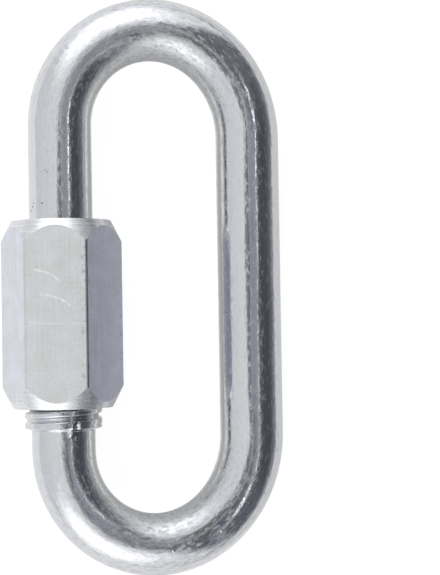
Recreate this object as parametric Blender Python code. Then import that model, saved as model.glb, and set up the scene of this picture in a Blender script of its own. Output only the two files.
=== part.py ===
"""Chain quick link for 6 mm bar: a bent round bar with two threaded ends, and the long hexagon nut
that closes the gap between them. Metres, +Z up. The link lies on a flat surface, its length along Y:
one flat of the nut and the plain leg touch the surface, so the bar's plane leans a little."""

import math

import bmesh
import bpy
from mathutils import Matrix

# Bar
BAR_DIAMETER = 0.0060
BEND_THINNING = 0.00014  # the bar is this much thinner, in its own plane, at each crown
INSIDE_WIDTH = 0.01185
INSIDE_LENGTH = 0.04308
NUT_SIDE_BEND = 0.0091  # how far along the link the bend reaches from the crown to the nut's leg
PLAIN_SIDE_BEND = 0.0104  # the same, to the plain leg
CROWN_SHIFT = 0.0003  # the crowns lie this far from the middle, towards the nut's leg

# Threaded leg, from its lower bend to its upper thread
LOWER_PLAIN_RUN = 0.00237
LOWER_THREAD_LENGTH = 0.0044
GAP_WIDTH = 0.0072
UPPER_THREAD_LENGTH = 0.0064
THREAD_RISE = 0.00065  # the thread's crests stand this far above the bar
THREAD_SHOULDER = 0.00015  # length of the slope from the crests down to the bar
TIP_CHAMFER = 0.0005

# Sleeve nut
RUNNING_CLEARANCE = 0.00025  # between the thread's crests and the nut's bore, all round
NUT_WALL = 0.0011  # from the bore to a flat
NUT_RIM = 0.0008  # from the bore to the edge of the end face
NUT_LENGTH = 0.0176
NUT_CONE_ANGLE = math.radians(27)  # the end cones against the nut's axis
BORE_MOUTH = 0.0003  # depth and width of the chamfer at each mouth of the bore
NUT_BACK_OFF = 0.0017  # how far the nut stands from the end of the lower thread

# Facets
BAR_SIDES = 32
BEND_STEPS = 12  # sections in each quarter of a bend
NUT_SIDES = 48
SHARP_EDGE = math.radians(20)  # faces that meet more steeply than this keep a crisp edge

# Zinc plate: the bar is bright, the nut a little duller and warmer
BAR_COLOUR = (0.74, 0.75, 0.79, 1.0)
BAR_ROUGHNESS = 0.25
NUT_COLOUR = (0.68, 0.70, 0.70, 1.0)
NUT_ROUGHNESS = 0.38

# Worked out from the sizes above
bar_radius = BAR_DIAMETER / 2
crown_radius = bar_radius - BEND_THINNING / 2
thread_radius = bar_radius + THREAD_RISE
bore_radius = thread_radius + RUNNING_CLEARANCE
flat_distance = bore_radius + NUT_WALL
corner_distance = flat_distance / math.cos(math.pi / 6)
end_face_radius = bore_radius + NUT_RIM
cut_margin = NUT_WALL  # the hexagon bar and the turned blank run this far past each other

leg_x = (INSIDE_WIDTH + BAR_DIAMETER) / 2
crown_y = INSIDE_LENGTH / 2 + crown_radius

# The threaded leg's steps, from the lower bend upwards
lower_shoulder_y = NUT_SIDE_BEND - crown_y + LOWER_PLAIN_RUN
lower_tip_y = lower_shoulder_y + LOWER_THREAD_LENGTH
upper_tip_y = lower_tip_y + GAP_WIDTH
upper_shoulder_y = upper_tip_y + UPPER_THREAD_LENGTH
nut_y = lower_shoulder_y + NUT_BACK_OFF + NUT_LENGTH / 2

# The bar's plane rises towards the nut, whose axis lies higher than the plain leg's. The link's middle
# stands off the origin so that the whole, nut's corner to plain leg, is centred across its width.
lean = math.asin((flat_distance - bar_radius) / (2 * leg_x))
middle_x = (corner_distance - bar_radius) / 2
middle_z = (flat_distance + bar_radius) / 2


def clear_scene():
    for obj in list(bpy.data.objects):
        bpy.data.objects.remove(obj)


def make_material(name, colour, roughness):
    material = bpy.data.materials.new(name)
    material.use_nodes = True
    shader = material.node_tree.nodes["Principled BSDF"]
    shader.inputs["Base Color"].default_value = colour
    shader.inputs["Metallic"].default_value = 1.0
    shader.inputs["Roughness"].default_value = roughness
    return material


def make_object(name, bm, *materials):
    """The bmesh as an object, with its faces turned outwards and its round faces smooth."""
    bmesh.ops.recalc_face_normals(bm, faces=bm.faces)
    mesh = bpy.data.meshes.new(name)
    bm.to_mesh(mesh)
    bm.free()
    mesh.shade_smooth()
    mesh.set_sharp_from_angle(angle=SHARP_EDGE)
    for material in materials:
        mesh.materials.append(material)
    obj = bpy.data.objects.new(name, mesh)
    bpy.context.scene.collection.objects.link(obj)
    return obj


def bend_sections(side, start, end):
    """Sections along half of a bend, from angle start to angle end: (x, y, heading, in-plane radius).

    side is -1 for the half on the nut's leg and 1 for the half on the plain leg. The centreline is a
    quarter of an ellipse that meets its leg and the crown without a kink.
    """
    half_width = leg_x + side * CROWN_SHIFT
    reach = NUT_SIDE_BEND if side < 0 else PLAIN_SIDE_BEND
    upper = math.sin((start + end) / 2) > 0
    centre_y = crown_y - reach if upper else reach - crown_y
    sections = []
    for step in range(BEND_STEPS + 1):
        angle = start + (end - start) * step / BEND_STEPS
        x = half_width * math.cos(angle) - CROWN_SHIFT
        y = reach * math.sin(angle) + centre_y
        heading = math.atan2(reach * math.cos(angle), -half_width * math.sin(angle))
        sections.append((x, y, heading, bar_radius - abs(math.sin(angle)) * BEND_THINNING / 2))
    return sections


def bar_sections():
    """Sections of the whole bar from its lower tip, round both bends, to its upper tip."""
    down = -math.pi / 2
    tip_radius = thread_radius - TIP_CHAMFER
    lower_end = [
        (-leg_x, lower_tip_y, down, tip_radius),
        (-leg_x, lower_tip_y - TIP_CHAMFER, down, thread_radius),
        (-leg_x, lower_shoulder_y, down, thread_radius),
        (-leg_x, lower_shoulder_y - THREAD_SHOULDER, down, bar_radius),
    ]
    upper_end = [
        (-leg_x, upper_shoulder_y + THREAD_SHOULDER, down, bar_radius),
        (-leg_x, upper_shoulder_y, down, thread_radius),
        (-leg_x, upper_tip_y + TIP_CHAMFER, down, thread_radius),
        (-leg_x, upper_tip_y, down, tip_radius),
    ]
    lower_bend = bend_sections(-1, math.pi, 1.5 * math.pi) + bend_sections(1, 1.5 * math.pi, 2 * math.pi)[1:]
    upper_bend = bend_sections(1, 0.0, 0.5 * math.pi) + bend_sections(-1, 0.5 * math.pi, math.pi)[1:]
    return lower_end + lower_bend + upper_bend + upper_end


def build_link_body(material):
    """The bar: a ring of points at each section, bridged to the next, with a flat face on each tip.

    The threads stand as plain cylinders at their crests.
    """
    sections = bar_sections()
    bm = bmesh.new()
    rings = []
    for x, y, heading, radius in sections:
        # In the bends the bar keeps its full thickness across its plane.
        across = max(radius, bar_radius)
        turn = Matrix.Rotation(heading + math.pi / 2, 4, "Z") @ Matrix.Rotation(math.pi / 2, 4, "X")
        place = Matrix.Translation((x, y, 0.0)) @ turn @ Matrix.Diagonal((radius, across, 1.0, 1.0))
        is_tip = not rings or len(rings) == len(sections) - 1
        made = bmesh.ops.create_circle(bm, cap_ends=is_tip, radius=1.0, segments=BAR_SIDES, matrix=place)
        rings.append(made["verts"])
    for ring, following in zip(rings, rings[1:]):
        edges = set()
        for points in (ring, following):
            inside = set(points)
            edges.update(edge for point in points for edge in point.link_edges if inside.issuperset(edge.verts))
        bmesh.ops.bridge_loops(bm, edges=list(edges))
    return make_object("link_body", bm, material)


def build_turned_blank():
    """The nut before its flats are cut: a ring with an end cone at each end and a chamfered bore."""
    blank_radius = corner_distance + cut_margin
    half = NUT_LENGTH / 2
    cone_start = half - (blank_radius - end_face_radius) / math.tan(NUT_CONE_ANGLE)
    upper_half = [
        (bore_radius, half - BORE_MOUTH),
        (bore_radius + BORE_MOUTH, half),
        (end_face_radius, half),
        (blank_radius, cone_start),
    ]
    lower_half = [(radius, -y) for radius, y in reversed(upper_half)]
    bm = bmesh.new()
    points = [bm.verts.new((radius, y, 0.0)) for radius, y in upper_half + lower_half]
    edges = [bm.edges.new((point, points[index - 1])) for index, point in enumerate(points)]
    bmesh.ops.spin(
        bm,
        geom=points + edges,
        cent=(0.0, 0.0, 0.0),
        axis=(0.0, 1.0, 0.0),
        angle=2 * math.pi,
        steps=NUT_SIDES,
        use_merge=True,
    )
    return make_object("turned_blank", bm)


def build_sleeve_nut(material):
    """A hexagon bar along Y, two flats level, cut to the turned blank's cones, ends and bore."""
    bm = bmesh.new()
    bmesh.ops.create_cone(
        bm,
        cap_ends=True,
        segments=6,
        radius1=corner_distance,
        radius2=corner_distance,
        depth=NUT_LENGTH + 2 * cut_margin,
        matrix=Matrix.Rotation(math.pi / 2, 4, "X") @ Matrix.Rotation(math.pi / 2, 4, "Z"),
    )
    hexagon_bar = make_object("hexagon_bar", bm)
    blank = build_turned_blank()
    turning = hexagon_bar.modifiers.new("turned_ends_and_bore", "BOOLEAN")
    turning.operation = "INTERSECT"
    turning.object = blank

    bm = bmesh.new()
    bm.from_object(hexagon_bar, bpy.context.evaluated_depsgraph_get())
    for helper in (hexagon_bar, blank):
        bpy.data.objects.remove(helper)
    return make_object("sleeve_nut", bm, material)


clear_scene()
bar_material = make_material("bright_zinc", BAR_COLOUR, BAR_ROUGHNESS)
nut_material = make_material("satin_zinc", NUT_COLOUR, NUT_ROUGHNESS)

bar_plane = bpy.data.objects.new("bar_plane", None)
bar_plane.location = (middle_x, 0.0, middle_z)
bar_plane.rotation_euler = (0.0, lean, 0.0)
bpy.context.scene.collection.objects.link(bar_plane)

link_body = build_link_body(bar_material)
link_body.parent = bar_plane

sleeve_nut = build_sleeve_nut(nut_material)
sleeve_nut.parent = bar_plane
sleeve_nut.location = (-leg_x, nut_y, 0.0)
sleeve_nut.rotation_euler = (0.0, -lean, 0.0)
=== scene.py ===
"""The looks of a chain quick link: a zinc plated bar with rolled threads, and the long nut on it.

Metres, +Z up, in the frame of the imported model. The link lies on the floor, its length along Y.
"""

import math

import bmesh
import bpy
from mathutils import Matrix, Vector


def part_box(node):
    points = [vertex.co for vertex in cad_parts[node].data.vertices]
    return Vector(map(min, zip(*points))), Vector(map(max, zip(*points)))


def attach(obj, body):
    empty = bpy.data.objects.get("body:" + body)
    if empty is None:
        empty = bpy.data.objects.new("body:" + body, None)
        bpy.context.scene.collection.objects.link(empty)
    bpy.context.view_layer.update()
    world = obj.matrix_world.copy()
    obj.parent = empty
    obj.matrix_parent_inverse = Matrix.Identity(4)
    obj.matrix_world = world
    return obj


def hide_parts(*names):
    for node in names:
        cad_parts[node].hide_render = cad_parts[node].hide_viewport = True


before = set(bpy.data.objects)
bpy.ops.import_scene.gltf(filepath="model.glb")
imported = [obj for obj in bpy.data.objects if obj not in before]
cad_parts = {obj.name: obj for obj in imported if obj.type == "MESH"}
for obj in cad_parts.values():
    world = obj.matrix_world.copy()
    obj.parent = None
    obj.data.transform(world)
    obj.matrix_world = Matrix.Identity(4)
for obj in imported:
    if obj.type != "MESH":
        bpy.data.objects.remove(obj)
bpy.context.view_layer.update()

MM = 0.001

# Bar
BAR_DIAMETER = 6.0 * MM
BEND_THINNING = 0.14 * MM  # how much thinner the bar is, in its own plane, at each crown
INSIDE_WIDTH = 11.85 * MM
INSIDE_LENGTH = 43.08 * MM
NUT_SIDE_BEND = 9.1 * MM  # how far along the link the bend reaches from the crown to the nut's leg
PLAIN_SIDE_BEND = 10.4 * MM  # the same, to the plain leg
CROWN_SHIFT = 0.3 * MM  # the crowns lie this far from the middle, towards the nut's leg

# Threads
THREAD_PITCH = 1.0 * MM
CREST_RADIUS = 3.65 * MM
GROOVE_RADIUS = 3.07 * MM
CREST_HALF = 0.15  # half the width of a crest, as a share of the pitch
GROOVE_START = 0.48  # where a groove's floor starts, measured from the crest, as a share of the pitch
CREST_Y = -12.02 * MM  # a crest passes the outer side of the leg here
THREAD_CLEARANCE = 0.11 * MM  # between the bar's thread and the nut's
TIP_CHAMFER = 0.5 * MM
RUN_OUT = 2.0 * MM  # the lower thread's groove rises to nothing over this length, before its shoulder
RUN_OUT_CURVE = 0.9
SHOULDER_LENGTH = 0.3 * MM  # from the crests down to the bar
LOWER_SHOULDER_Y = -13.15 * MM
LOWER_TIP_Y = -8.6 * MM
UPPER_TIP_Y = -1.4 * MM
UPPER_SHOULDER_Y = 5.0 * MM
THREAD_MARGIN = 1.0 * MM  # plain bar between the shoulder's foot and the first ring of the bend
BURRS = [
    # Turn round the bar, place along the link, half the width as a turn, half the length, height
    (0.284, -13.45 * MM, 0.013, 0.80 * MM, 0.20 * MM),
    (0.308, -12.95 * MM, 0.013, 0.60 * MM, -0.22 * MM),
]

# Nut
NUT_CONE_ANGLE = math.radians(27)
END_FACE_RADIUS = 4.7 * MM
MOUTH_RADIUS = 4.2 * MM
CORNER_SOFTENING = 0.16 * MM
BLANK_MARGIN = 1.0 * MM  # the turned blank is this much wider than the hexagon's corners


def mm(*values):
    return tuple(value * MM for value in values)


# Marks on the bar
BAR_MARKS = [
    # Middle, radius, how much it changes the tone, and its lift in millimetres
    (mm(-8.91, 7.86, 7.64), 0.16 * MM, -0.5, 0.0),
    (mm(-8.38, 10.73, 7.86), 0.12 * MM, -0.45, 0.0),
    (mm(-8.57, 10.92, 7.79), 0.12 * MM, -0.45, 0.0),
    (mm(-6.40, 22.34, 7.40), 0.14 * MM, -0.5, 0.0),
    (mm(-9.61, 12.69, 7.11), 0.22 * MM, 0.1, 0.0),
    (mm(-9.75, 7.93, 6.96), 0.15 * MM, -0.4, 0.0),
    (mm(-9.90, 7.60, 6.75), 0.15 * MM, -0.5, 0.0),
    (mm(-10.05, 7.25, 6.52), 0.15 * MM, -0.4, 0.0),
    (mm(-6.00, -12.70, 8.30), 0.22 * MM, -0.6, 0.0),  # from here, the torn metal at the lower thread, darkened with painted shade in the tear's valley and along its edges
    (mm(-6.05, -13.00, 8.10), 0.24 * MM, -0.6, 0.0),
    (mm(-6.05, -13.30, 7.80), 0.24 * MM, -0.6, 0.0),
    (mm(-6.00, -13.65, 7.60), 0.24 * MM, -0.5, 0.0),
    (mm(-5.95, -14.10, 7.60), 0.24 * MM, -0.35, 0.03),
    (mm(-6.71, -13.35, 7.95), 0.15 * MM, -0.5, 0.0),
    (mm(-6.71, -13.75, 7.90), 0.15 * MM, -0.5, 0.0),
    (mm(-6.60, -12.60, 8.54), 0.13 * MM, -0.5, 0.0),
    (mm(-6.25, -12.60, 8.44), 0.13 * MM, -0.6, 0.0),
    (mm(-5.60, -12.60, 8.13), 0.13 * MM, -0.5, 0.0),
    (mm(11.21, -11.80, 5.84), 0.18 * MM, 0.1, 0.03),  # and from here, knocks on the plain leg and its bend; the first one's lighter tone is a painted highlight
    (mm(7.33, -23.01, 6.25), 0.16 * MM, 0.0, 0.05),
    (mm(2.84, -24.72, 6.83), 0.16 * MM, -0.4, 0.03),
]
MARK_CORE = 0.3  # the share of a mark's radius over which it is at its full strength
MARK_FLATTENING = (1.0, 1.0, 0.4)  # a mark's reach counts for less in height, so it runs down the round side

# Scratches on the nut's upper flat
SCRATCHES = [
    # The points that each one runs through, and its strength
    ([mm(-9.43, 1.59), mm(-8.44, 1.36), mm(-7.54, 0.88), mm(-7.09, 0.42)], 0.8),
    ([mm(-8.86, -0.70), mm(-8.02, -0.79), mm(-7.27, -1.11), mm(-6.51, -1.49), mm(-5.91, -2.04)], 0.8),
    ([mm(-7.25, -1.06), mm(-6.80, -1.28)], 1.0),
    ([mm(-10.10, -3.19), mm(-8.22, -3.41), mm(-4.87, -3.37)], 0.35),
]

# Patterns
TO_MM = (1000.0, 1000.0, 1000.0)  # what a place in metres is multiplied by, before a pattern reads it
BAR_LINES = (1000.0, 1000.0, 30.0)  # drawn out into lines along the bar
BAR_GRAIN = (1000.0, 1000.0, 400.0)
NUT_LINES = (1000.0, 40.0, 1000.0)  # lines along the nut
TOOL_RINGS = (60.0, 1000.0, 60.0)  # rings round the nut
EVEN_LEVEL = 0.5  # what a pattern is on average

# Bright zinc on the bar. Heights are in millimetres.
BAR_TINTS = ((0.712, 0.725, 0.722, 1), (0.706, 0.715, 0.750, 1))
BAR_TINT_RANGE = (0.35, 0.65)
BAR_TONE = 1.03
BAR_ROUGHNESS = 0.05
LINE_HEIGHT = 0.006
LINE_SHADE = 0.10
WAVE_HEIGHT = 0.03
BEAD_HEIGHT = 0.009
WORN_BEAD_HEIGHT = 0.004  # added to the beads where the bar is worn or bent
PATCH_WEAR = 0.4  # how worn a patch is, against a bend
BEAD_SHADE = 0.08
BEAD_ROUGHNESS = 0.05
GRAIN_HEIGHT = 0.004
SPOT_RANGE = (0.45, 0.66)
SPOT_SHADE = 0.06
BENT_SPOT_SHADE = 0.20
PATCH_RANGE = (0.40, 0.64)
PATCH_ROUGHNESS = 0.06
PIT_RANGE = (0.44, 0.70)
PIT_ROUGHNESS = 0.30
INNER_RANGE = (0.3, 2.2)  # how far inwards from the bar's middle the inside of a bend starts
INNER_ROUGHNESS = 0.32
# painted shade in the thread's grooves
PAINTED_GROOVE_SHADE = 0.65

# Satin zinc on the nut's flats. Heights and reaches are in millimetres.
UPPER_TINTS = ((0.79, 0.815, 0.795, 1), (0.805, 0.805, 0.825, 1))
# The side flats' tints hold painted light and shade: each is darker and bluer than the upper flat's for how
# the light falls on that side, the right one most.
LEFT_FLAT_PAINTED_TINTS = ((0.76, 0.775, 0.80, 1), (0.775, 0.78, 0.835, 1))
RIGHT_FLAT_PAINTED_TINTS = ((0.76, 0.775, 0.86, 1), (0.78, 0.785, 0.89, 1))
SCRATCH_COLOUR = (0.97, 0.98, 0.98, 1)
NUT_ROUGHNESS = 0.54
NUT_LINE_HEIGHT = 0.02
NUT_LINE_SHADE = 0.14
NUT_GRAIN_HEIGHT = 0.02
MOTTLE_SHADE = 0.25
CLOUD_RANGE = (0.35, 0.65)
CLOUD_SHADE = 0.20
CLOUD_ROUGHNESS = 0.08
SIDE_RANGE = (2.7, 3.0)  # across the nut from its middle, where the upper flat ends
# painted shade that makes the nut's right side a little darker
RIGHT_SIDE_PAINTED_SHADE = 0.05
CORNER_RANGE = (0.10, 0.24)
CORNER_WANDER = 0.25
CORNER_SHADE = 0.12
# painted shade on the right corners, on top of the corners' own darkening
RIGHT_CORNER_PAINTED_SHADE = 0.20
CORNER_POLISH = 0.28
SCRATCH_RANGE = (0.03, 0.13)
SCRATCH_DEPTH = 0.02
SCRATCH_BREAKS = (0.33, 0.50)
SCRATCH_HEIGHTS = (4.5, 4.9)  # above the nut's middle, so that only the upper flat is scratched
SPECK_RANGE = (0.56, 0.66)
SPECK_REACH = (0.2, 1.1)  # from a corner
SPECK_SIDE = (0.0, 1.5)  # across the nut from its middle
SPECK_SHADE = 0.22

# Turned zinc on the nut's cones and in its bore
TURNED_COLOUR = (0.765, 0.775, 0.79)
TURNED_HEIGHT = 0.008
RING_SHADE = 0.5
TURNED_GRAIN_SHADE = 0.3
TURNED_ROUGHNESS = 0.20
TURNED_GRAIN_ROUGHNESS = 0.12

# Fineness of the meshes
BAR_SIDES = 144
BEND_STEPS = 48  # rings in each quarter of a bend
RING_SPACING = 0.4 * MM
THREAD_ROWS = 16  # in each pitch
NUT_SIDES = 144
CORNER_STEPS = 4
TOUCHING = 0.001 * MM  # points nearer than this are one
SHARP_EDGE = math.radians(40)
FLAT_EDGE = math.radians(2)  # beside a flat, faces that meet more steeply than this keep a crisp edge
FLAT_AREA = 10.0 * MM * MM  # only the nut's flats are larger than this
TURNED_SLOPE = 0.1  # a face that points along the nut more than this is turned
END_SLOPE = 0.999  # and one that does so more than this is an end face

# Camera
PHOTO_HEIGHT = 575
FOCAL_PIXELS = 1573.9
SENSOR = 36.0
CAMERA_PLACE = Vector((9.536, -3.304, 153.744)) * MM
CAMERA_TURN = (0.0207, 0.0137, -0.0166)

# Worked out from the sizes above and from the frame
nut_low, nut_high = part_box("sleeve_nut")
nut_centre = (nut_low + nut_high) / 2
nut_half = (nut_high.y - nut_low.y) / 2
flat_distance = (nut_high.z - nut_low.z) / 2
corner_distance = flat_distance / math.cos(math.pi / 6)
bar_radius = BAR_DIAMETER / 2
leg_x = (INSIDE_WIDTH + BAR_DIAMETER) / 2
crown_y = (INSIDE_LENGTH + BAR_DIAMETER - BEND_THINNING) / 2
lean = math.asin((flat_distance - bar_radius) / (2 * leg_x))
middle = Vector(((corner_distance - bar_radius) / 2, 0.0, (flat_distance + bar_radius) / 2))
bar_plane = Matrix.Translation(middle) @ Matrix.Rotation(lean, 4, "Y")


def smooth(share):
    """0 below 0, 1 above 1, and an even curve between."""
    share = min(max(share, 0.0), 1.0)
    return share * share * (3 - 2 * share)


class Number:
    """A socket that carries a number. A sum written on it adds the Math nodes that work it out."""

    def __init__(self, shading, socket):
        self.shading = shading
        self.socket = socket

    def worked(self, operation, *values):
        made = self.shading.node("ShaderNodeMath", {"operation": operation}, dict(enumerate(values)))
        return Number(self.shading, made.outputs[0])

    def __add__(self, other):
        return self.worked("ADD", self, other)

    def __radd__(self, other):
        return self.worked("ADD", other, self)

    def __sub__(self, other):
        return self.worked("SUBTRACT", self, other)

    def __rsub__(self, other):
        return self.worked("SUBTRACT", other, self)

    def __mul__(self, other):
        return self.worked("MULTIPLY", self, other)

    def __rmul__(self, other):
        return self.worked("MULTIPLY", other, self)

    def __truediv__(self, other):
        return self.worked("DIVIDE", self, other)

    def __pow__(self, other):
        return self.worked("POWER", self, other)

    def __abs__(self):
        return self.worked("ABSOLUTE", self)

    def smaller(self, other):
        return self.worked("MINIMUM", self, other)

    def larger(self, other):
        return self.worked("MAXIMUM", self, other)


class Shading:
    """Adds nodes to one node tree."""

    def __init__(self, tree):
        self.tree = tree

    def node(self, kind, settings=None, sockets=None):
        made = self.tree.nodes.new(kind)
        for name, value in (settings or {}).items():
            setattr(made, name, value)
        for key, value in (sockets or {}).items():
            self.feed(made.inputs[key], value)
        return made

    def feed(self, socket, value):
        value = getattr(value, "socket", value)
        if isinstance(value, bpy.types.NodeSocket):
            self.tree.links.new(value, socket)
        else:
            socket.default_value = value

    def vector(self, operation, first, second=(0.0, 0.0, 0.0)):
        made = self.node("ShaderNodeVectorMath", {"operation": operation}, {0: first, 1: second})
        return made.outputs[0]

    def scaled(self, vector, size):
        made = self.node("ShaderNodeVectorMath", {"operation": "SCALE"}, {0: vector, 3: size})
        return made.outputs[0]

    def parts(self, vector):
        made = self.node("ShaderNodeSeparateXYZ", None, {0: vector})
        return [Number(self, socket) for socket in made.outputs]

    def length(self, vector):
        made = self.node("ShaderNodeVectorMath", {"operation": "LENGTH"}, {0: vector})
        return Number(self, made.outputs["Value"])

    def step(self, value, start, end):
        """0 where the value is below start, 1 above end, and an even curve between."""
        made = self.node(
            "ShaderNodeMapRange",
            {"interpolation_type": "SMOOTHSTEP"},
            {"Value": value, "From Min": start, "From Max": end},
        )
        return Number(self, made.outputs[0])

    def blend(self, share, first, second):
        """The first colour where the share is 0, the second where it is 1."""
        made = self.node("ShaderNodeMix", {"data_type": "RGBA"}, {0: share, 6: first, 7: second})
        return made.outputs[2]

    def noise(self, vector, scale, detail=2.0, roughness=0.5):
        sockets = {"Vector": vector, "Scale": scale, "Detail": detail, "Roughness": roughness}
        made = self.node("ShaderNodeTexNoise", None, sockets)
        return Number(self, made.outputs[0])

    def carried(self, name):
        """A number that the mesh carries on its points."""
        return Number(self, self.node("ShaderNodeAttribute", {"attribute_name": name}).outputs["Fac"])

    def place(self):
        """The point on the piece, in metres."""
        return self.node("ShaderNodeTexCoord").outputs["Object"]

    def place_from(self, centre):
        """The point on the piece, in metres from a centre."""
        made = self.node("ShaderNodeMapping", None, {"Vector": self.place(), "Location": -centre})
        return made.outputs[0]

    def glow(self, colour, strength=1.0):
        made = self.node("ShaderNodeEmission", None, {"Color": colour, "Strength": strength})
        return made.outputs[0]

    def either(self, share, first, second):
        """The first surface where the share is 0, the second where it is 1."""
        return self.node("ShaderNodeMixShader", None, {0: share, 1: first, 2: second}).outputs[0]


def new_material(name):
    material = bpy.data.materials.new(name)
    material.use_nodes = True
    return material, Shading(material.node_tree), material.node_tree.nodes["Principled BSDF"]


def new_stage_material(name):
    """A material with nothing but its output, and the socket that its surface goes to."""
    material = bpy.data.materials.new(name)
    material.use_nodes = True
    material.node_tree.nodes.clear()
    shading = Shading(material.node_tree)
    return material, shading, shading.node("ShaderNodeOutputMaterial").inputs["Surface"]


def bump(shading, shader, height):
    """The height, in millimetres, as the shader's normal."""
    made = shading.node("ShaderNodeBump", None, {"Height": height, "Distance": MM})
    shading.feed(shader.inputs["Normal"], made.outputs[0])


def bright_zinc():
    """The bar: bright plate over a drawn surface, with lengthwise lines, beads and fine pits.

    The beads stand higher where the bar was bent, and the inside of a bend is duller.
    """
    material, shading, shader = new_material("bright_zinc")
    straight = shading.node("ShaderNodeAttribute", {"attribute_name": "straight"}).outputs["Vector"]
    bend = shading.carried("bent")
    sunk = shading.carried("sunk")
    point = shading.vector("MULTIPLY", straight, TO_MM)
    lengthwise = shading.vector("MULTIPLY", straight, BAR_LINES)
    drawn = shading.vector("MULTIPLY", straight, BAR_GRAIN)

    lines = shading.noise(lengthwise, 3.0, 3.0, 0.6)
    waves = shading.noise(point, 0.35, 1.0)
    beads = shading.noise(drawn, 2.6, 2.0, 0.6)
    grain = shading.noise(drawn, 4.5, 3.0, 0.65)
    pits = shading.step(shading.noise(drawn, 3.6, 3.0, 0.6), *PIT_RANGE)
    patches = shading.step(shading.noise(drawn, 0.5, 2.0), *PATCH_RANGE)
    spots = shading.step(grain, *SPOT_RANGE)

    worn = patches * PATCH_WEAR + bend
    beading = beads * (BEAD_HEIGHT + worn * WORN_BEAD_HEIGHT)
    height = lines * LINE_HEIGHT + waves * WAVE_HEIGHT + beading + grain * GRAIN_HEIGHT
    tone = BAR_TONE - spots * (SPOT_SHADE + bend * BENT_SPOT_SHADE)
    tone = tone + (lines - EVEN_LEVEL) * LINE_SHADE + (beads - EVEN_LEVEL) * BEAD_SHADE
    # Painted shade in the thread's grooves, strongest where a groove is deepest.
    tone = tone * (1 - sunk * sunk * PAINTED_GROOVE_SHADE)
    for centre, radius, shade, lift in BAR_MARKS:
        away = shading.vector("SUBTRACT", shading.place(), centre)
        away = shading.length(shading.vector("MULTIPLY", away, MARK_FLATTENING))
        near = 1 - shading.step(away, radius * MARK_CORE, radius)
        tone = tone * (1 + near * shade)
        height = height + near * lift
    bump(shading, shader, height)

    tinted = shading.step(shading.noise(lengthwise, 1.1, 2.0), *BAR_TINT_RANGE)
    tint = shading.blend(tinted, *BAR_TINTS)
    shading.feed(shader.inputs["Base Color"], shading.scaled(tint, tone))
    inner = shading.step(shading.parts(point)[0], *INNER_RANGE)
    dulled = bend * bend * patches * PATCH_ROUGHNESS + bend * inner * INNER_ROUGHNESS
    rough = BAR_ROUGHNESS + beads * BEAD_ROUGHNESS + pits * PIT_ROUGHNESS + dulled
    shading.feed(shader.inputs["Roughness"], rough)
    shader.inputs["Metallic"].default_value = 1.0
    return material


def from_middle(place):
    """A place on the nut's upper flat, in millimetres from the nut's middle."""
    return (place[0] - nut_centre.x) / MM, (place[1] - nut_centre.y) / MM


def from_stretch(x, y, start, end):
    """How far the point (x, y) is from a straight stretch."""
    run = Vector(end) - Vector(start)
    share = ((x - start[0]) * run.x + (y - start[1]) * run.y) / run.length_squared
    held = share.larger(0.0).smaller(1.0)
    return ((x - start[0] - held * run.x) ** 2 + (y - start[1] - held * run.y) ** 2) ** 0.5


def scratched_at(shading, x, y):
    """How strongly the point (x, y) of the nut's upper flat is scratched."""
    nears = []
    for route, strength in SCRATCHES:
        for start, end in zip(route, route[1:]):
            away = from_stretch(x, y, from_middle(start), from_middle(end))
            nears.append((1 - shading.step(away, *SCRATCH_RANGE)) * strength)
    scratched = nears[0]
    for near in nears[1:]:
        scratched = scratched.larger(near)
    return scratched


def from_corner(x, z):
    """How far the point (x, z) of the nut's section is from the nearest of its corners."""
    across = abs(x)
    to_upper = (across - corner_distance / MM / 2) ** 2 + (abs(z) - flat_distance / MM) ** 2
    to_side = (across - corner_distance / MM) ** 2 + z ** 2
    return to_upper.smaller(to_side) ** 0.5


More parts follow.
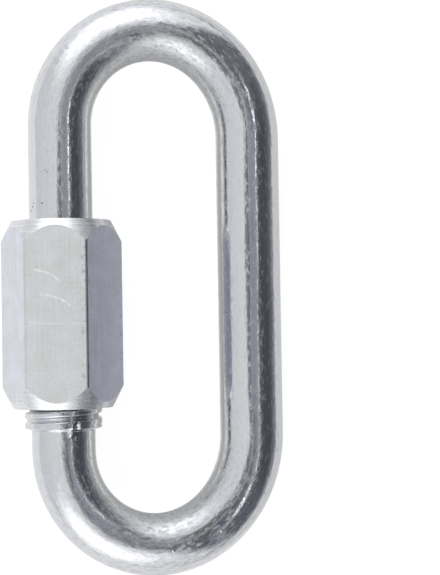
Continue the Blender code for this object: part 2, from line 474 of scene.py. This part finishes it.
def satin_zinc():
    """The nut's flats: duller plate, with faint lines from drawing along its length.

    The corners are worn smoother and a little darker, and the upper flat has a few scratches.
    The side flats are tinted with painted light, and the right side and its corners are darkened with painted
    shade.
    """
    material, shading, shader = new_material("satin_zinc")
    centred = shading.place_from(nut_centre)
    point = shading.vector("MULTIPLY", centred, TO_MM)
    x, y, z = shading.parts(point)
    lines = shading.noise(shading.vector("MULTIPLY", centred, NUT_LINES), 4.0, 3.0)
    grain = shading.noise(point, 4.0, 4.0, 0.6)
    clouds = shading.noise(point, 0.6, 3.0)
    mottle = shading.noise(point, 4.0, 3.0, 0.7)
    breaks = shading.step(shading.noise(point, 3.5, 2.0), *SCRATCH_BREAKS)
    specks = shading.step(shading.noise(point, 2.2, 3.0), *SPECK_RANGE)

    nearest = from_corner(x, z) + (grain - EVEN_LEVEL) * CORNER_WANDER
    corner = 1 - shading.step(nearest, *CORNER_RANGE)
    specks = specks * (1 - shading.step(nearest, *SPECK_REACH)) * shading.step(x, *SPECK_SIDE)
    scratched = scratched_at(shading, x, y) * shading.step(z, *SCRATCH_HEIGHTS) * breaks
    bump(shading, shader, lines * NUT_LINE_HEIGHT + grain * NUT_GRAIN_HEIGHT - scratched * SCRATCH_DEPTH)

    cloudy = shading.step(clouds, *CLOUD_RANGE)
    right = shading.step(x, *SIDE_RANGE)
    # Painted light and shade: the side flats are tinted for how the light falls on each side.
    painted_side_tints = shading.blend(right, shading.blend(cloudy, *LEFT_FLAT_PAINTED_TINTS), shading.blend(cloudy, *RIGHT_FLAT_PAINTED_TINTS))
    tint = shading.blend(shading.step(abs(x), *SIDE_RANGE), shading.blend(cloudy, *UPPER_TINTS), painted_side_tints)
    tone = 1 + (mottle - EVEN_LEVEL) * MOTTLE_SHADE + (lines - EVEN_LEVEL) * NUT_LINE_SHADE
    tone = tone + (clouds - EVEN_LEVEL) * CLOUD_SHADE
    # The right corners and the right side get painted shade on top of the corners' own darkening.
    tone = tone * (1 - corner * (CORNER_SHADE + right * RIGHT_CORNER_PAINTED_SHADE))
    tone = tone * (1 - right * RIGHT_SIDE_PAINTED_SHADE) * (1 - specks * SPECK_SHADE)
    plain = shading.scaled(tint, tone)
    shading.feed(shader.inputs["Base Color"], shading.blend(scratched, plain, SCRATCH_COLOUR))
    rough = NUT_ROUGHNESS + clouds * CLOUD_ROUGHNESS - corner * CORNER_POLISH
    shading.feed(shader.inputs["Roughness"], rough)
    shader.inputs["Metallic"].default_value = 1.0
    return material


def turned_zinc():
    """The nut's end cones and faces, and its bore: rings left by the tool, under the plate."""
    material, shading, shader = new_material("turned_zinc")
    centred = shading.place_from(nut_centre)
    rings = shading.noise(shading.vector("MULTIPLY", centred, TOOL_RINGS), 6.5, 2.0, 0.6)
    grain = shading.noise(shading.vector("MULTIPLY", centred, TO_MM), 3.0, 3.0)
    bump(shading, shader, rings * TURNED_HEIGHT + grain * TURNED_HEIGHT)
    tone = 1 + (rings - EVEN_LEVEL) * RING_SHADE + (grain - EVEN_LEVEL) * TURNED_GRAIN_SHADE
    shading.feed(shader.inputs["Base Color"], shading.scaled(TURNED_COLOUR, tone))
    shading.feed(shader.inputs["Roughness"], TURNED_ROUGHNESS + grain * TURNED_GRAIN_ROUGHNESS)
    shader.inputs["Metallic"].default_value = 1.0
    return material


def new_object(name, bm, *materials):
    """The bmesh as an object at the origin, with its materials in their order."""
    mesh = bpy.data.meshes.new(name)
    bm.to_mesh(mesh)
    bm.free()
    for material in materials:
        mesh.materials.append(material)
    made = bpy.data.objects.new(name, mesh)
    bpy.context.scene.collection.objects.link(made)
    return made


def mark_sharp(bm):
    """Keeps an edge crisp where flat meets cone, where a flat ends at its corner, or where faces fold."""
    for edge in bm.edges:
        first, second = edge.link_faces
        angle = edge.calc_face_angle()
        beside_flat = max(first.calc_area(), second.calc_area()) > FLAT_AREA and angle > FLAT_EDGE
        edge.smooth = not (
            first.material_index != second.material_index
            or beside_flat
            or angle > SHARP_EDGE
        )
    for face in bm.faces:
        face.smooth = True


def finish_piece(name, bm, materials, body, node):
    """The bmesh as a piece of the link that stands for a node of the frame and rides on its body."""
    mark_sharp(bm)
    bmesh.ops.recalc_face_normals(bm, faces=bm.faces)
    piece = new_object(name, bm, *materials)
    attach(piece, body)
    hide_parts(node)


def each_once(elements):
    """The elements without repeats, in the order in which they come."""
    return list(dict.fromkeys(elements))


def ends_at(bm, y):
    """The open edges that lie in the plane across the link at y."""
    open_edges = (edge for edge in bm.edges if edge.is_boundary)
    return [edge for edge in open_edges if all(abs(point.co.y - y) < TOUCHING for point in edge.verts)]


def thread_height(turns):
    """How high the thread stands, 0 in the groove and 1 on the crest, this many turns from a crest."""
    from_crest = abs(turns - round(turns))
    return 1 - smooth((from_crest - CREST_HALF) / (GROOVE_START - CREST_HALF))


def add_thread(bm, axis, crest_y, low_y, high_y, kinks, radius_at):
    """A right-handed thread round an axis along Y, as a band that is cut square at low_y and high_y.

    A crest passes the band's -X side at crest_y. The band gets an extra edge round it at each of the
    kinks, and radius_at(height, turn, y) says how far from the axis it lies.
    """
    row = THREAD_PITCH / THREAD_ROWS
    first = math.floor((low_y - THREAD_PITCH - crest_y) / row) - 1
    last = math.ceil((high_y - crest_y) / row) + 1
    places = [(axis.x - CREST_RADIUS, crest_y + k * row, axis.z) for k in range(first, last + 1)]
    points = [bm.verts.new(place) for place in places]
    edges = [bm.edges.new(pair) for pair in zip(points, points[1:])]
    old = set(bm.verts).difference(points)
    bmesh.ops.spin(
        bm,
        geom=points + edges,
        cent=(axis.x, 0.0, axis.z),
        axis=(0.0, 1.0, 0.0),
        dvec=(0.0, THREAD_PITCH / BAR_SIDES, 0.0),
        angle=2 * math.pi,
        steps=BAR_SIDES,
        use_merge=False,
    )
    bmesh.ops.remove_doubles(bm, verts=[point for point in bm.verts if point not in old], dist=TOUCHING)
    for y, outwards in [(low_y, -1), (high_y, 1)] + [(kink, 0) for kink in kinks]:
        band = [point for point in bm.verts if point not in old]
        around = each_once(edge for point in band for edge in point.link_edges)
        faces = each_once(face for point in band for face in point.link_faces)
        bmesh.ops.bisect_plane(
            bm,
            geom=band + around + faces,
            plane_co=(0.0, y, 0.0),
            plane_no=(0.0, outwards or 1, 0.0),
            clear_outer=outwards != 0,
        )
    band = [point for point in bm.verts if point not in old]
    for point in band:
        x = point.co.x - axis.x
        z = point.co.z - axis.z
        turn = math.atan2(z, -x) / (2 * math.pi)
        height = thread_height((point.co.y - crest_y) / THREAD_PITCH - turn)
        grow = radius_at(height, turn, point.co.y) / math.hypot(x, z)
        point.co.x = axis.x + x * grow
        point.co.z = axis.z + z * grow
    return band


def burr_height(turn, y):
    """How far the torn metal at the lower thread's shoulder stands above the bar."""
    total = 0.0
    for burr_turn, burr_y, half_turn, half_length, height in BURRS:
        reach = math.hypot((turn - burr_turn) / half_turn, (y - burr_y) / half_length)
        total += height * (1 - smooth(reach))
    return total


def bar_thread_radius(height, y, tip_y, shoulder_y, run_out):
    """The bar's thread: chamfered at the tip, and ending in a short slope down to the bar.

    Over the run-out the groove rises to the crests, so that the thread ends in a collar.
    """
    inward = (y - shoulder_y) * math.copysign(1, tip_y - shoulder_y)
    depth = min(max(inward, 0.0) / run_out, 1.0) ** RUN_OUT_CURVE if run_out else 1.0
    cut = CREST_RADIUS - (CREST_RADIUS - GROOVE_RADIUS) * (1 - height) * depth
    if inward < 0:
        return bar_radius + (cut - bar_radius) * smooth(1 + inward / SHOULDER_LENGTH)
    from_tip = abs(tip_y - shoulder_y) - inward
    return min(cut, CREST_RADIUS - TIP_CHAMFER + from_tip)


def nut_thread_radius(height, turn, y):
    """The nut's thread, which follows the bar's at the clearance, and opens to a chamfered mouth."""
    cut = GROOVE_RADIUS + (CREST_RADIUS - GROOVE_RADIUS) * height + THREAD_CLEARANCE
    from_end = nut_half - abs(y - nut_centre.y)
    return max(cut, MOUTH_RADIUS - from_end)


def leg_stations(x, start_y, end_y, heading):
    """Stations along a straight leg: (x, y, heading, in-plane radius, how strongly it is bent)."""
    steps = math.ceil(abs(end_y - start_y) / RING_SPACING)
    return [(x, start_y + (end_y - start_y) * k / steps, heading, bar_radius, 0.0) for k in range(steps)]


def bend_stations(side, start, end):
    """Stations along half of a bend, a quarter of an ellipse. side is -1 on the nut's leg, 1 on the plain."""
    half_width = leg_x + side * CROWN_SHIFT
    reach = NUT_SIDE_BEND if side < 0 else PLAIN_SIDE_BEND
    upper = math.sin((start + end) / 2) > 0
    centre_y = crown_y - reach if upper else reach - crown_y
    stations = []
    for k in range(BEND_STEPS):
        angle = start + (end - start) * k / BEND_STEPS
        x = half_width * math.cos(angle) - CROWN_SHIFT
        y = reach * math.sin(angle) + centre_y
        heading = math.atan2(reach * math.cos(angle), -half_width * math.sin(angle))
        bend = abs(math.sin(angle))
        stations.append((x, y, heading, bar_radius - bend * BEND_THINNING / 2, bend))
    return stations


def bar_stations(lower_y, upper_y):
    """Stations of the whole bar from its lower thread, round both bends, to its upper thread."""
    down = -math.pi / 2
    quarter = math.pi / 2
    route = leg_stations(-leg_x, lower_y, NUT_SIDE_BEND - crown_y, down)
    route += bend_stations(-1, 2 * quarter, 3 * quarter) + bend_stations(1, 3 * quarter, 4 * quarter)
    route += leg_stations(leg_x, PLAIN_SIDE_BEND - crown_y, crown_y - PLAIN_SIDE_BEND, -down)
    route += bend_stations(1, 0.0, quarter) + bend_stations(-1, quarter, 2 * quarter)
    route += leg_stations(-leg_x, crown_y - NUT_SIDE_BEND, upper_y, down)
    return route + [(-leg_x, upper_y, down, bar_radius, 0.0)]


def add_bar_end(bm, straight, sunk, tip_y, shoulder_y, bar_y, along, run_out):
    """One threaded end of the bar, from its tip to bar_y, which lies this far along the unbent bar."""
    axis = Vector((-leg_x, 0.0, 0.0))
    inwards = math.copysign(1, tip_y - shoulder_y)
    kinks = [tip_y - inwards * TIP_CHAMFER, shoulder_y, shoulder_y - inwards * SHOULDER_LENGTH]
    low_y, high_y = sorted((tip_y, bar_y))

    def radius_at(height, turn, y):
        radius = bar_thread_radius(height, y, tip_y, shoulder_y, run_out)
        return max(radius + burr_height(turn, y), bar_radius)

    for point in add_thread(bm, axis, CREST_Y, low_y, high_y, kinks, radius_at):
        point[straight] = (point.co.x + leg_x, point.co.z, along + bar_y - point.co.y)
        if (point.co.y - shoulder_y) * inwards > 0:
            below = CREST_RADIUS - math.hypot(point.co.x + leg_x, point.co.z)
            point[sunk] = smooth(below / (CREST_RADIUS - GROOVE_RADIUS))
    bmesh.ops.edgeloop_fill(bm, edges=ends_at(bm, tip_y))


def build_bar():
    """The bent bar with both its threads.

    The attribute straight holds each point as if the bar were unbent, bent how strongly it is bent there,
    and sunk how deep it lies in a groove.
    """
    bm = bmesh.new()
    straight = bm.verts.layers.float_vector.new("straight")
    bent = bm.verts.layers.float.new("bent")
    sunk = bm.verts.layers.float.new("sunk")
    lower_y = LOWER_SHOULDER_Y - SHOULDER_LENGTH - THREAD_MARGIN
    upper_y = UPPER_SHOULDER_Y + SHOULDER_LENGTH + THREAD_MARGIN
    stations = bar_stations(lower_y, upper_y)
    travelled = [0.0]
    for before, after in zip(stations, stations[1:]):
        travelled.append(travelled[-1] + math.hypot(after[0] - before[0], after[1] - before[1]))
    add_bar_end(bm, straight, sunk, LOWER_TIP_Y, LOWER_SHOULDER_Y, lower_y, 0.0, RUN_OUT)
    add_bar_end(bm, straight, sunk, UPPER_TIP_Y, UPPER_SHOULDER_Y, upper_y, travelled[-1], 0.0)

    rings = [ends_at(bm, lower_y)]
    for (x, y, heading, radius, bend), along in list(zip(stations, travelled))[1:-1]:
        turn = Matrix.Rotation(heading + math.pi / 2, 4, "Z") @ Matrix.Rotation(math.pi / 2, 4, "X")
        size = Matrix.Diagonal((radius, bar_radius, 1.0, 1.0))
        made = bmesh.ops.create_circle(bm, radius=1.0, segments=BAR_SIDES)["verts"]
        for point in made:
            flat = size @ point.co
            point[straight] = (flat.x, flat.y, along)
            point[bent] = bend
            point.co = Matrix.Translation((x, y, 0.0)) @ turn @ flat
        rings.append(each_once(edge for point in made for edge in point.link_edges))
    rings.append(ends_at(bm, upper_y))
    for ring, following in zip(rings, rings[1:]):
        bmesh.ops.bridge_loops(bm, edges=ring + following)
    bm.transform(bar_plane)
    return bm


def build_turned_blank():
    """The solid that the nut's hexagon bar is turned down to: a cone at each end, and no bore."""
    blank_radius = corner_distance + BLANK_MARGIN
    cone_start = nut_half - (blank_radius - END_FACE_RADIUS) / math.tan(NUT_CONE_ANGLE)
    half = [(0.0, nut_half), (END_FACE_RADIUS, nut_half), (blank_radius, cone_start)]
    profile = half + [(radius, -y) for radius, y in reversed(half)]
    bm = bmesh.new()
    points = [bm.verts.new((radius, y, 0.0)) for radius, y in profile]
    edges = [bm.edges.new(pair) for pair in zip(points, points[1:])]
    bmesh.ops.spin(
        bm,
        geom=points + edges,
        cent=(0.0, 0.0, 0.0),
        axis=(0.0, 1.0, 0.0),
        angle=2 * math.pi,
        steps=NUT_SIDES,
        use_merge=True,
    )
    bmesh.ops.remove_doubles(bm, verts=bm.verts, dist=TOUCHING)
    bmesh.ops.recalc_face_normals(bm, faces=bm.faces)
    return bm


def build_hexagon_bar():
    """A hexagon bar along Y with two flats level and its corners softened."""
    bm = bmesh.new()
    bmesh.ops.create_cone(
        bm,
        cap_ends=True,
        segments=6,
        radius1=corner_distance,
        radius2=corner_distance,
        depth=2 * (nut_half + BLANK_MARGIN),
        matrix=Matrix.Rotation(math.pi / 2, 4, "X") @ Matrix.Rotation(math.pi / 2, 4, "Z"),
    )
    corners = [edge for edge in bm.edges if abs(edge.verts[0].co.y - edge.verts[1].co.y) > nut_half]
    bmesh.ops.bevel(
        bm,
        geom=corners,
        offset=CORNER_SOFTENING,
        segments=CORNER_STEPS,
        affect="EDGES",
        profile=0.5,
        material=-1,
    )
    bmesh.ops.recalc_face_normals(bm, faces=bm.faces)
    return bm


def build_nut():
    """The hexagon bar turned to the blank, opened at both ends, and joined to its threaded bore.

    Faces of the flats and corners get the first material, turned and threaded ones the second.
    """
    hexagon_bar = new_object("hexagon_bar", build_hexagon_bar())
    blank = new_object("turned_blank", build_turned_blank())
    turning = hexagon_bar.modifiers.new("turned_ends", "BOOLEAN")
    turning.operation = "INTERSECT"
    turning.object = blank
    bm = bmesh.new()
    bm.from_object(hexagon_bar, bpy.context.evaluated_depsgraph_get())
    for spent in (hexagon_bar, blank):
        bpy.data.objects.remove(spent)
    bmesh.ops.translate(bm, vec=nut_centre, verts=bm.verts)
    bm.normal_update()
    for face in bm.faces:
        face.material_index = int(abs(face.normal.y) > TURNED_SLOPE)
    end_faces = [face for face in bm.faces if abs(face.normal.y) > END_SLOPE]
    bmesh.ops.delete(bm, geom=end_faces, context="FACES")

    # The bar leans about the thread's axis, so its crests stand a little lower on the nut's own -X side.
    crest_y = CREST_Y - THREAD_PITCH * lean / (2 * math.pi)
    mouth_depth = MOUTH_RADIUS - GROOVE_RADIUS - THREAD_CLEARANCE
    kinks = [nut_low.y + mouth_depth, nut_high.y - mouth_depth]
    for point in add_thread(bm, nut_centre, crest_y, nut_low.y, nut_high.y, kinks, nut_thread_radius):
        for face in point.link_faces:
            face.material_index = 1
    for y in (nut_low.y, nut_high.y):
        for face in bmesh.ops.bridge_loops(bm, edges=ends_at(bm, y))["faces"]:
            face.material_index = 1
    return bm


# The bar and the nut
finish_piece("plated_bar", build_bar(), [bright_zinc()], "link", "link_body")
finish_piece("long_nut", build_nut(), [satin_zinc(), turned_zinc()], "nut", "sleeve_nut")

# Tent of light
TENT_RADIUS = 175.0 * MM
TENT_FOOT = -1.0 * MM
TENT_LEFT = (0.665, 0.678, 0.715, 1)  # the tent at the left edge of the ball, and at the right one
TENT_RIGHT = (1.015, 1.02, 1.00, 1)
STREAKS = 0.7  # how much the tent's open side is streaked
LAMP = (2.2, 2.2, 2.2, 1)
OPEN_SIDE = ((0.50, -0.02), (0.43, 0.55), 0.0, 0.07, (0.182, 0.19, 0.205, 1))
AREAS = [
    # Centre, half size, turn, softness, colour. The places are on the disc of a mirror ball that is seen
    # from above: it shows every direction at one point, from -1 to 1 each way.
    OPEN_SIDE,
    ((0.49, -0.05), (0.16, 0.36), 0.0, 0.55, (0.080, 0.086, 0.098, 1)),
    ((0.20, -0.31), (0.055, 0.26), 0.46, 0.50, (0.155, 0.16, 0.185, 1)),
    ((0.40, -0.35), (0.12, 0.12), 0.0, 0.60, (0.128, 0.134, 0.155, 1)),
    ((0.17, -0.01), (0.12, 0.15), 0.0, 0.22, (0.33, 0.345, 0.385, 1)),  # the tent's dark opening above
    ((0.17, 0.20), (0.08, 0.09), 0.0, 0.30, (0.17, 0.175, 0.185, 1)),
    ((0.13, -0.17), (0.07, 0.11), 0.3, 0.35, (0.155, 0.16, 0.19, 1)),
    ((0.018, 0.012), (0.088, 0.094), 0.0, 0.12, (0.265, 0.275, 0.28, 1)),
    ((0.030, 0.0), (0.020, 0.16), 0.0, 0.60, (0.16, 0.165, 0.17, 1)),
    ((0.075, 0.0), (0.012, 0.14), 0.0, 0.50, (0.45, 0.46, 0.50, 1)),
    ((0.287, 0.120), (0.015, 0.085), 0.20, 0.45, (1.8, 1.85, 1.95, 1)),  # its bright edge, in four parts
    ((0.280, -0.035), (0.012, 0.10), -0.174, 0.50, (0.75, 0.78, 0.85, 1)),
    ((0.258, -0.19), (0.016, 0.085), -0.107, 0.50, (1.6, 1.66, 1.78, 1)),
    ((0.290, -0.385), (0.012, 0.14), 0.59, 0.60, (0.60, 0.62, 0.67, 1)),
    ((-0.100, 0.472), (0.185, 0.160), -0.16, 1.0, LAMP),
    ((-0.173, -0.414), (0.172, 0.132), 0.0, 1.0, LAMP),
]

# A grey card at the open side, which only the metal sees
CARD_LOW = Vector((32.0, -220.0, 1.0)) * MM
CARD_HIGH = Vector((290.0, 220.0, 1.0)) * MM
CARD_COLOUR = (0.27, 0.28, 0.33, 1)

# White paper on the floor
FLOOR_RADIUS = 3.0
FLOOR_SIDES = 64
WHITE = (1, 1, 1, 1)
PAPER = 0.8  # the share of light that the paper gives back
SHADOW_SHARE = 0.25  # how much of that the camera sees, so that shadows are faint
CAMERA_GLOW = 0.915  # and the light of its own that the camera sees besides
METAL_SHARE = 0.35  # the same two as the metal sees them
METAL_GLOW = 0.70
PAINTED_SHADOW_LEVEL = 0.5  # how light the metal sees the paper's painted shadows, against the rest
PAINTED_SHADOW_CENTRE = (1.0 * MM, 0.0)  # one painted shadow lies between the legs
PAINTED_SHADOW_HALF = (4.2 * MM, 27.0 * MM)
PAINTED_SHADOW_SOFTNESS = 0.4
PAINTED_SHADOW_DEPTH = 0.9
PAINTED_RIGHT_SHADE_EDGE = 12.5 * MM  # and painted shade lies past the plain leg
PAINTED_RIGHT_SHADE_SOFTNESS = 1.0 * MM
PAINTED_RIGHT_SHADE_DEPTH = 0.33


def soft_area(shading, x, y, centre, half_size, turn, softness):
    """1 inside an ellipse and 0 outside, with a soft edge."""
    cosine = math.cos(turn)
    sine = math.sin(turn)
    across = (x - centre[0]) * cosine + (y - centre[1]) * sine
    along = (y - centre[1]) * cosine - (x - centre[0]) * sine
    reach = ((across / half_size[0]) ** 2 + (along / half_size[1]) ** 2) ** 0.5
    return 1 - shading.step(reach, 1 - softness, 1 + softness)


def tent_light():
    """The tent's own light: paler to the right, with the areas laid over it one after another."""
    material, shading, surface = new_stage_material("tent_light")
    direction = shading.vector("NORMALIZE", shading.place())
    ball = shading.vector("NORMALIZE", shading.vector("ADD", direction, (0.0, 0.0, 1.0)))
    x, y, _ = shading.parts(ball)
    colour = shading.blend(x * 0.5 + 0.5, TENT_LEFT, TENT_RIGHT)
    for *area, shade in AREAS:
        colour = shading.blend(soft_area(shading, x, y, *area), colour, shade)
    streaks = shading.noise(ball, 14.0, 3.0, 0.65) - EVEN_LEVEL
    streaked = soft_area(shading, x, y, *OPEN_SIDE[:-1]) * streaks
    shading.feed(surface, shading.glow(shading.scaled(colour, 1 + streaked * STREAKS)))
    return material


def build_tent():
    """A dome of soft light round the link, which the metal reflects and the camera doesn't see."""
    bm = bmesh.new()
    bmesh.ops.create_icosphere(bm, subdivisions=5, radius=TENT_RADIUS)
    bmesh.ops.bisect_plane(
        bm,
        geom=list(bm.verts) + list(bm.edges) + list(bm.faces),
        plane_co=(0.0, 0.0, TENT_FOOT),
        plane_no=(0.0, 0.0, -1.0),
        clear_outer=True,
    )
    tent = new_object("tent", bm, tent_light())
    tent.visible_camera = False


def build_card():
    """A flat card of one even light, which only shows in the metal."""
    material, shading, surface = new_stage_material("grey_card")
    shading.feed(surface, shading.glow(CARD_COLOUR))
    size = CARD_HIGH - CARD_LOW
    place = Matrix.Translation((CARD_LOW + CARD_HIGH) / 2) @ Matrix.Diagonal((size.x, size.y, 1.0, 1.0))
    bm = bmesh.new()
    bmesh.ops.create_grid(bm, x_segments=1, y_segments=1, size=0.5, matrix=place)
    card = new_object("grey_card", bm, material)
    card.visible_camera = False
    card.visible_diffuse = False
    card.visible_shadow = False


def glowing_paper(shading, share, glow):
    """Paper that shows this share of the light it gives back, and this much light of its own."""
    grey = PAPER * share
    lit = shading.node("ShaderNodeBsdfDiffuse", None, {"Color": (grey, grey, grey, 1)}).outputs[0]
    return shading.node("ShaderNodeAddShader", None, {0: lit, 1: shading.glow(WHITE, glow)}).outputs[0]


def white_floor():
    """White paper. The camera sees it white under a faint shadow, and the metal sees it nearly white, with
    painted shadows between the legs and past the plain leg.
    """
    material, shading, surface = new_stage_material("white_floor")
    rays = shading.node("ShaderNodeLightPath").outputs
    in_metal = Number(shading, rays["Is Glossy Ray"]) + Number(shading, rays["Is Transmission Ray"])
    x, y, _ = shading.parts(shading.place())
    # Painted shadows, which only the metal sees: one between the legs, one past the plain leg.
    between = soft_area(shading, x, y, PAINTED_SHADOW_CENTRE, PAINTED_SHADOW_HALF, 0.0, PAINTED_SHADOW_SOFTNESS) * PAINTED_SHADOW_DEPTH
    right = shading.step(x, PAINTED_RIGHT_SHADE_EDGE - PAINTED_RIGHT_SHADE_SOFTNESS, PAINTED_RIGHT_SHADE_EDGE + PAINTED_RIGHT_SHADE_SOFTNESS) * PAINTED_RIGHT_SHADE_DEPTH
    light = glowing_paper(shading, METAL_SHARE, METAL_GLOW)
    dark = glowing_paper(shading, METAL_SHARE * PAINTED_SHADOW_LEVEL, METAL_GLOW * PAINTED_SHADOW_LEVEL)
    mirrored = shading.either(between + right, light, dark)
    paper = shading.either(in_metal, glowing_paper(shading, 1.0, 0.0), mirrored)
    to_camera = glowing_paper(shading, SHADOW_SHARE, CAMERA_GLOW)
    shading.feed(surface, shading.either(rays["Is Camera Ray"], paper, to_camera))
    return material


def build_floor():
    bm = bmesh.new()
    bmesh.ops.create_circle(bm, cap_ends=True, radius=FLOOR_RADIUS, segments=FLOOR_SIDES)
    floor = new_object("floor", bm, white_floor())


def build_world():
    """A plain white world, which is the backdrop past the floor."""
    world = bpy.data.worlds.new("white_room")
    world.use_nodes = True
    world.node_tree.nodes["Background"].inputs["Color"].default_value = WHITE
    bpy.context.scene.world = world


def build_camera():
    """Looks down on the link from the place that was fitted to its outline."""
    data = bpy.data.cameras.new("camera")
    data.sensor_width = SENSOR
    data.lens = SENSOR * FOCAL_PIXELS / PHOTO_HEIGHT
    data.clip_start = MM
    camera = bpy.data.objects.new("camera", data)
    tilt, swing, roll = CAMERA_TURN
    turned = Matrix.Rotation(tilt, 4, "X") @ Matrix.Rotation(swing, 4, "Y") @ Matrix.Rotation(roll, 4, "Z")
    camera.matrix_world = Matrix.Translation(CAMERA_PLACE) @ turned
    bpy.context.scene.collection.objects.link(camera)
    bpy.context.scene.camera = camera


build_tent()
build_card()
build_floor()
build_world()
build_camera()
bpy.context.scene.view_settings.view_transform = "Standard"
